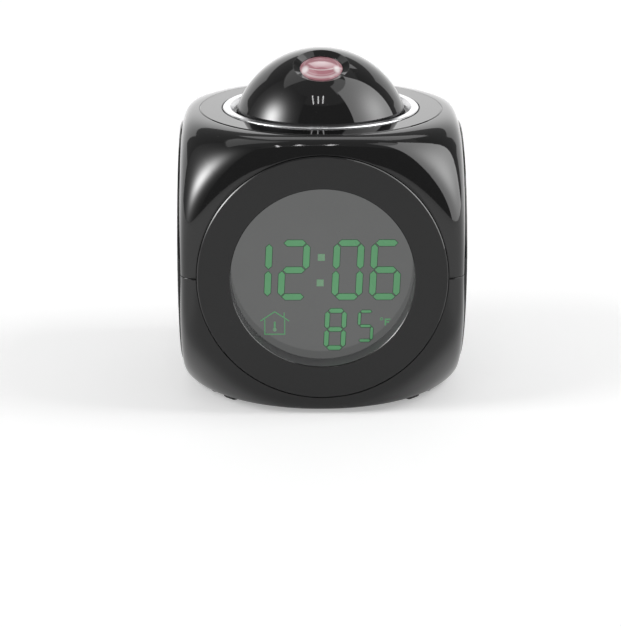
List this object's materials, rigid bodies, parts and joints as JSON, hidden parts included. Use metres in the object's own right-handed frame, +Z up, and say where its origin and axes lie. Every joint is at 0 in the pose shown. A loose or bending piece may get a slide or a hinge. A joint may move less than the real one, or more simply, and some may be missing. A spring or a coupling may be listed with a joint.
{
  "type": "projection alarm clock",
  "caption": "Black rounded-cube alarm clock with round panels, a round display window, a push-down projector dome, and a bottom with buttons, a slide switch and a hinged battery door.",
  "frame": {"origin": "centre of the overall box's bottom face, on the surface the feet stand on, midway between the side panels and between the front and rear panels", "axes": "+Z up; -Y is the front, with the display; +X is to the right as seen from the front"},
  "size_m": [0.082, 0.0812, 0.0981],
  "materials": {
    "black_shell": "gloss black, moulded",
    "dark_bezel": "smoked dark grey, gloss",
    "dome_black": "gloss black",
    "silver_trim": "silver-white plated plastic",
    "control_grey": "dark grey, fine texture",
    "button_grey": "grey, fine texture",
    "rubber_foot": "matt black",
    "display_glass": "lit grey display behind clear glass",
    "display_print": "green display segments",
    "lens_glass": "clear moulded lens",
    "light_guide": "white light guide",
    "white_plastic": "white",
    "zebra_rubber": "pink striped contact rubber",
    "board_green": "green circuit board",
    "chip_black": "black",
    "inner_black": "black",
    "slide_film": "grey display film on glass",
    "lamp_red": "red lamp",
    "spring_steel": "bright",
    "contact_nickel": "nickel plated",
    "speaker_grey": "dark grey",
    "clamp_steel": "plain steel",
    "sensor_brown": "dipped bead",
    "ribbon_grey": "grey flat cable",
    "wire_red": "red and black insulated wire",
    "screw_steel": "bright"
  },
  "bodies": {
    "case": {"upper_shell": "black_shell", "lower_shell": "black_shell", "front_bezel": "dark_bezel", "left_panel": "black_shell", "right_panel": "black_shell", "rear_cover": "black_shell", "top_panel": "black_shell", "trim_ring": "silver_trim", "feet": "rubber_foot", "lcd_glass": "display_glass", "lcd_segments": "display_print", "backlight": "light_guide", "lcd_tray": "white_plastic", "zebra_strips": "zebra_rubber", "main_board": "board_green", "main_board_parts": "chip_black", "dome_springs": "spring_steel", "top_board": "board_green", "dome_switch": "chip_black", "control_panel": "control_grey", "slide_switch": "contact_nickel", "button_switches": "chip_black", "button_board": "board_green", "contact_plates": "contact_nickel", "contact_springs": "spring_steel", "speaker": "speaker_grey", "speaker_clamp": "clamp_steel", "temperature_sensor": "sensor_brown", "panel_ribbon": "ribbon_grey", "top_ribbon": "ribbon_grey", "speaker_leads": "wire_red", "battery_leads": "wire_red", "case_screws": "screw_steel", "small_screws": "screw_steel"},
    "projector": {"projector_dome": "dome_black", "projector_lens": "lens_glass", "lens_barrel": "inner_black", "time_slide": "slide_film", "lamp_tube": "inner_black", "projector_lamp": "lamp_red", "lamp_board": "board_green"},
    "hour_button": {"hour_button": "button_grey"},
    "minute_button": {"minute_button": "button_grey"},
    "mode_button": {"mode_button": "button_grey"},
    "switch_knob": {"switch_knob": "chip_black"},
    "battery_door": {"battery_door": "inner_black"}
  },
  "joints": [
    {"name": "dome_press", "type": "slide", "parent": "case", "child": "projector", "axis": [0, 0, -1], "range_m": [0, 0.0015], "stiffness_N_per_m": 400, "springref_m": -0.003, "deforming": ["dome_springs"]},
    {"name": "hour_press", "type": "slide", "parent": "case", "child": "hour_button", "axis": [0, 0, 1], "range_m": [0, 0.0006], "stiffness_N_per_m": 200},
    {"name": "minute_press", "type": "slide", "parent": "case", "child": "minute_button", "axis": [0, 0, 1], "range_m": [0, 0.0006], "stiffness_N_per_m": 200},
    {"name": "mode_press", "type": "slide", "parent": "case", "child": "mode_button", "axis": [0, 0, 1], "range_m": [0, 0.0006], "stiffness_N_per_m": 200},
    {"name": "switch_slide", "type": "slide", "parent": "case", "child": "switch_knob", "axis": [0, 1, 0], "range_m": [0, 0.002]},
    {"name": "door_hinge", "type": "hinge", "parent": "case", "child": "battery_door", "pos_m": [0, -0.01345, 0.00105], "axis": [-1, 0, 0], "range_deg": [0, 60]}
  ]
}
